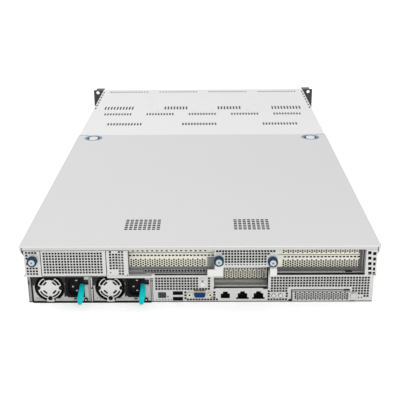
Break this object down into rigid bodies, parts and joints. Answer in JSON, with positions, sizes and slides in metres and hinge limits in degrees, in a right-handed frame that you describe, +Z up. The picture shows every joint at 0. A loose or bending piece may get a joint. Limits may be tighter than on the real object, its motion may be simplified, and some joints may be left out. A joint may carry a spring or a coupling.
{
  "type": "rack server",
  "caption": "Two-unit rack server: steel chassis with lift-off rear cover, twin pull-out power supplies, slot windows, rear sockets and hot-swap drive trays at the front.",
  "frame": {"origin": "centre of the chassis's flat underside", "axes": "+Z up, +Y towards the front with the drive trays and rack ears, -Y the rear with the power supplies, +X to the right seen from behind"},
  "size_m": [0.4826, 0.8604, 0.0875],
  "materials": {
    "tub_steel": "zinc-plated sheet",
    "cover_steel": "zinc-plated sheet, fine grain",
    "bracket_steel": "zinc-plated sheet",
    "slot_cover": "warm nickel plate",
    "ear_black": "black powder coat",
    "latch_blue": "moulded blue plastic",
    "thumbscrew": "blue anodised, knurled",
    "psu_metal": "zinc-plated sheet",
    "psu_lever": "teal plastic",
    "fan_plastic": "black plastic",
    "connector": "nickel-plated shells",
    "board": "green solder mask",
    "cooler": "extruded aluminium",
    "memory": "black parts on a board",
    "cage_steel": "zinc-plated sheet",
    "drive": "cast drive body and steel rails",
    "tray_lever": "dark grey plastic",
    "button": "translucent pale plastic"
  },
  "bodies": {
    "chassis": {"chassis_base": "tub_steel", "rear_wall": "bracket_steel", "rear_connectors": "connector", "riser_brackets": "bracket_steel", "slot_covers": "slot_cover", "rear_bay_cover": "bracket_steel", "middle_top_cover": "cover_steel", "front_top_cover": "cover_steel", "rack_ears": "ear_black", "motherboard": "board", "processor_heatsinks": "cooler", "memory_modules": "memory", "drive_cage": "cage_steel", "drive_backplane": "board", "fan_frames": "fan_plastic"},
    "top_cover": {"rear_top_cover": "cover_steel"},
    "latch_left": {"cover_latch_left": "latch_blue"},
    "latch_right": {"cover_latch_right": "latch_blue"},
    "thumbscrew_1": {"thumbscrew_1": "thumbscrew"},
    "thumbscrew_2": {"thumbscrew_2": "thumbscrew"},
    "thumbscrew_3": {"thumbscrew_3": "thumbscrew"},
    "psu_1": {"psu_case_1": "psu_metal"},
    "psu_1_lever": {"psu_lever_1": "psu_lever"},
    "psu_1_fan": {"psu_rotor_1": "fan_plastic"},
    "psu_2": {"psu_case_2": "psu_metal"},
    "psu_2_lever": {"psu_lever_2": "psu_lever"},
    "psu_2_fan": {"psu_rotor_2": "fan_plastic"},
    "fan_1": {"fan_rotor_1": "fan_plastic"},
    "fan_2": {"fan_rotor_2": "fan_plastic"},
    "fan_3": {"fan_rotor_3": "fan_plastic"},
    "fan_4": {"fan_rotor_4": "fan_plastic"},
    "tray_1_1": {"drive_tray_1_1": "drive"},
    "lever_1_1": {"tray_lever_1_1": "tray_lever"},
    "tray_1_2": {"drive_tray_1_2": "drive"},
    "lever_1_2": {"tray_lever_1_2": "tray_lever"},
    "tray_1_3": {"drive_tray_1_3": "drive"},
    "lever_1_3": {"tray_lever_1_3": "tray_lever"},
    "tray_1_4": {"drive_tray_1_4": "drive"},
    "lever_1_4": {"tray_lever_1_4": "tray_lever"},
    "tray_2_1": {"drive_tray_2_1": "drive"},
    "lever_2_1": {"tray_lever_2_1": "tray_lever"},
    "tray_2_2": {"drive_tray_2_2": "drive"},
    "lever_2_2": {"tray_lever_2_2": "tray_lever"},
    "tray_2_3": {"drive_tray_2_3": "drive"},
    "lever_2_3": {"tray_lever_2_3": "tray_lever"},
    "tray_2_4": {"drive_tray_2_4": "drive"},
    "lever_2_4": {"tray_lever_2_4": "tray_lever"},
    "tray_3_1": {"drive_tray_3_1": "drive"},
    "lever_3_1": {"tray_lever_3_1": "tray_lever"},
    "tray_3_2": {"drive_tray_3_2": "drive"},
    "lever_3_2": {"tray_lever_3_2": "tray_lever"},
    "tray_3_3": {"drive_tray_3_3": "drive"},
    "lever_3_3": {"tray_lever_3_3": "tray_lever"},
    "tray_3_4": {"drive_tray_3_4": "drive"},
    "lever_3_4": {"tray_lever_3_4": "tray_lever"},
    "network_card": {"network_module": "bracket_steel"},
    "power_key": {"power_button": "button"},
    "id_key": {"id_button": "button"},
    "rear_key_1": {"rear_button_1": "button"},
    "rear_key_2": {"rear_button_2": "button"}
  },
  "joints": [
    {"name": "top_cover_lift", "type": "slide", "parent": "chassis", "child": "top_cover", "axis": [0, 0, 1], "range_m": [0, 0.12]},
    {"name": "latch_left_turn", "type": "hinge", "parent": "top_cover", "child": "latch_left", "pos_m": [-0.1916, 0.045, 0.084], "axis": [0, 0, 1], "range_deg": [0, 90]},
    {"name": "latch_right_turn", "type": "hinge", "parent": "top_cover", "child": "latch_right", "pos_m": [0.1916, 0.045, 0.084], "axis": [0, 0, 1], "range_deg": [0, 90]},
    {"name": "thumbscrew_1_turn", "type": "hinge", "parent": "chassis", "child": "thumbscrew_1", "pos_m": [-0.2054, -0.42, 0.0674], "axis": [0, 1, 0], "continuous": true},
    {"name": "thumbscrew_2_turn", "type": "hinge", "parent": "chassis", "child": "thumbscrew_2", "pos_m": [0.0237, -0.42, 0.0673], "axis": [0, 1, 0], "continuous": true},
    {"name": "thumbscrew_3_turn", "type": "hinge", "parent": "chassis", "child": "thumbscrew_3", "pos_m": [0.0897, -0.42, 0.0661], "axis": [0, 1, 0], "continuous": true},
    {"name": "psu_1_pull", "type": "slide", "parent": "chassis", "child": "psu_1", "axis": [0, -1, 0], "range_m": [0, 0.17]},
    {"name": "psu_1_lever_swing", "type": "hinge", "parent": "psu_1", "child": "psu_1_lever", "pos_m": [-0.15075, -0.394, 0.0165], "axis": [0, 0, 1], "range_deg": [-8, 0]},
    {"name": "psu_1_fan_spin", "type": "hinge", "parent": "psu_1", "child": "psu_1_fan", "pos_m": [-0.19115, -0.387, 0.021], "axis": [0, 1, 0], "continuous": true},
    {"name": "psu_2_pull", "type": "slide", "parent": "chassis", "child": "psu_2", "axis": [0, -1, 0], "range_m": [0, 0.17]},
    {"name": "psu_2_lever_swing", "type": "hinge", "parent": "psu_2", "child": "psu_2_lever", "pos_m": [-0.07365, -0.394, 0.0165], "axis": [0, 0, 1], "range_deg": [-8, 0]},
    {"name": "psu_2_fan_spin", "type": "hinge", "parent": "psu_2", "child": "psu_2_fan", "pos_m": [-0.11405, -0.387, 0.021], "axis": [0, 1, 0], "continuous": true},
    {"name": "fan_1_spin", "type": "hinge", "parent": "chassis", "child": "fan_1", "pos_m": [-0.1575, 0.17, 0.0412], "axis": [0, 1, 0], "continuous": true},
    {"name": "fan_2_spin", "type": "hinge", "parent": "chassis", "child": "fan_2", "pos_m": [-0.0525, 0.17, 0.0412], "axis": [0, 1, 0], "continuous": true},
    {"name": "fan_3_spin", "type": "hinge", "parent": "chassis", "child": "fan_3", "pos_m": [0.0525, 0.17, 0.0412], "axis": [0, 1, 0], "continuous": true},
    {"name": "fan_4_spin", "type": "hinge", "parent": "chassis", "child": "fan_4", "pos_m": [0.1575, 0.17, 0.0412], "axis": [0, 1, 0], "continuous": true},
    {"name": "tray_1_1_pull", "type": "slide", "parent": "chassis", "child": "tray_1_1", "axis": [0, 1, 0], "range_m": [0, 0.15]},
    {"name": "lever_1_1_open", "type": "hinge", "parent": "tray_1_1", "child": "lever_1_1", "pos_m": [-0.2101, 0.4238, 0.01575], "axis": [0, 0, 1], "range_deg": [0, 60]},
    {"name": "tray_1_2_pull", "type": "slide", "parent": "chassis", "child": "tray_1_2", "axis": [0, 1, 0], "range_m": [0, 0.15]},
    {"name": "lever_1_2_open", "type": "hinge", "parent": "tray_1_2", "child": "lever_1_2", "pos_m": [-0.1029, 0.4238, 0.01575], "axis": [0, 0, 1], "range_deg": [0, 60]},
    {"name": "tray_1_3_pull", "type": "slide", "parent": "chassis", "child": "tray_1_3", "axis": [0, 1, 0], "range_m": [0, 0.15]},
    {"name": "lever_1_3_open", "type": "hinge", "parent": "tray_1_3", "child": "lever_1_3", "pos_m": [0.0043, 0.4238, 0.01575], "axis": [0, 0, 1], "range_deg": [0, 60]},
    {"name": "tray_1_4_pull", "type": "slide", "parent": "chassis", "child": "tray_1_4", "axis": [0, 1, 0], "range_m": [0, 0.15]},
    {"name": "lever_1_4_open", "type": "hinge", "parent": "tray_1_4", "child": "lever_1_4", "pos_m": [0.1115, 0.4238, 0.01575], "axis": [0, 0, 1], "range_deg": [0, 60]},
    {"name": "tray_2_1_pull", "type": "slide", "parent": "chassis", "child": "tray_2_1", "axis": [0, 1, 0], "range_m": [0, 0.15]},
    {"name": "lever_2_1_open", "type": "hinge", "parent": "tray_2_1", "child": "lever_2_1", "pos_m": [-0.2101, 0.4238, 0.04385], "axis": [0, 0, 1], "range_deg": [0, 60]},
    {"name": "tray_2_2_pull", "type": "slide", "parent": "chassis", "child": "tray_2_2", "axis": [0, 1, 0], "range_m": [0, 0.15]},
    {"name": "lever_2_2_open", "type": "hinge", "parent": "tray_2_2", "child": "lever_2_2", "pos_m": [-0.1029, 0.4238, 0.04385], "axis": [0, 0, 1], "range_deg": [0, 60]},
    {"name": "tray_2_3_pull", "type": "slide", "parent": "chassis", "child": "tray_2_3", "axis": [0, 1, 0], "range_m": [0, 0.15]},
    {"name": "lever_2_3_open", "type": "hinge", "parent": "tray_2_3", "child": "lever_2_3", "pos_m": [0.0043, 0.4238, 0.04385], "axis": [0, 0, 1], "range_deg": [0, 60]},
    {"name": "tray_2_4_pull", "type": "slide", "parent": "chassis", "child": "tray_2_4", "axis": [0, 1, 0], "range_m": [0, 0.15]},
    {"name": "lever_2_4_open", "type": "hinge", "parent": "tray_2_4", "child": "lever_2_4", "pos_m": [0.1115, 0.4238, 0.04385], "axis": [0, 0, 1], "range_deg": [0, 60]},
    {"name": "tray_3_1_pull", "type": "slide", "parent": "chassis", "child": "tray_3_1", "axis": [0, 1, 0], "range_m": [0, 0.15]},
    {"name": "lever_3_1_open", "type": "hinge", "parent": "tray_3_1", "child": "lever_3_1", "pos_m": [-0.2101, 0.4238, 0.07195], "axis": [0, 0, 1], "range_deg": [0, 60]},
    {"name": "tray_3_2_pull", "type": "slide", "parent": "chassis", "child": "tray_3_2", "axis": [0, 1, 0], "range_m": [0, 0.15]},
    {"name": "lever_3_2_open", "type": "hinge", "parent": "tray_3_2", "child": "lever_3_2", "pos_m": [-0.1029, 0.4238, 0.07195], "axis": [0, 0, 1], "range_deg": [0, 60]},
    {"name": "tray_3_3_pull", "type": "slide", "parent": "chassis", "child": "tray_3_3", "axis": [0, 1, 0], "range_m": [0, 0.15]},
    {"name": "lever_3_3_open", "type": "hinge", "parent": "tray_3_3", "child": "lever_3_3", "pos_m": [0.0043, 0.4238, 0.07195], "axis": [0, 0, 1], "range_deg": [0, 60]},
    {"name": "tray_3_4_pull", "type": "slide", "parent": "chassis", "child": "tray_3_4", "axis": [0, 1, 0], "range_m": [0, 0.15]},
    {"name": "lever_3_4_open", "type": "hinge", "parent": "tray_3_4", "child": "lever_3_4", "pos_m": [0.1115, 0.4238, 0.07195], "axis": [0, 0, 1], "range_deg": [0, 60]},
    {"name": "network_card_pull", "type": "slide", "parent": "chassis", "child": "network_card", "axis": [0, -1, 0], "range_m": [0, 0.1]},
    {"name": "power_key_press", "type": "slide", "parent": "chassis", "child": "power_key", "axis": [0, -1, 0], "range_m": [0, 0.001], "stiffness_N_per_m": 300},
    {"name": "id_key_press", "type": "slide", "parent": "chassis", "child": "id_key", "axis": [0, -1, 0], "range_m": [0, 0.001], "stiffness_N_per_m": 300},
    {"name": "rear_key_1_press", "type": "slide", "parent": "chassis", "child": "rear_key_1", "axis": [0, 1, 0], "range_m": [0, 0.001], "stiffness_N_per_m": 300},
    {"name": "rear_key_2_press", "type": "slide", "parent": "chassis", "child": "rear_key_2", "axis": [0, 1, 0], "range_m": [0, 0.001], "stiffness_N_per_m": 300}
  ]
}
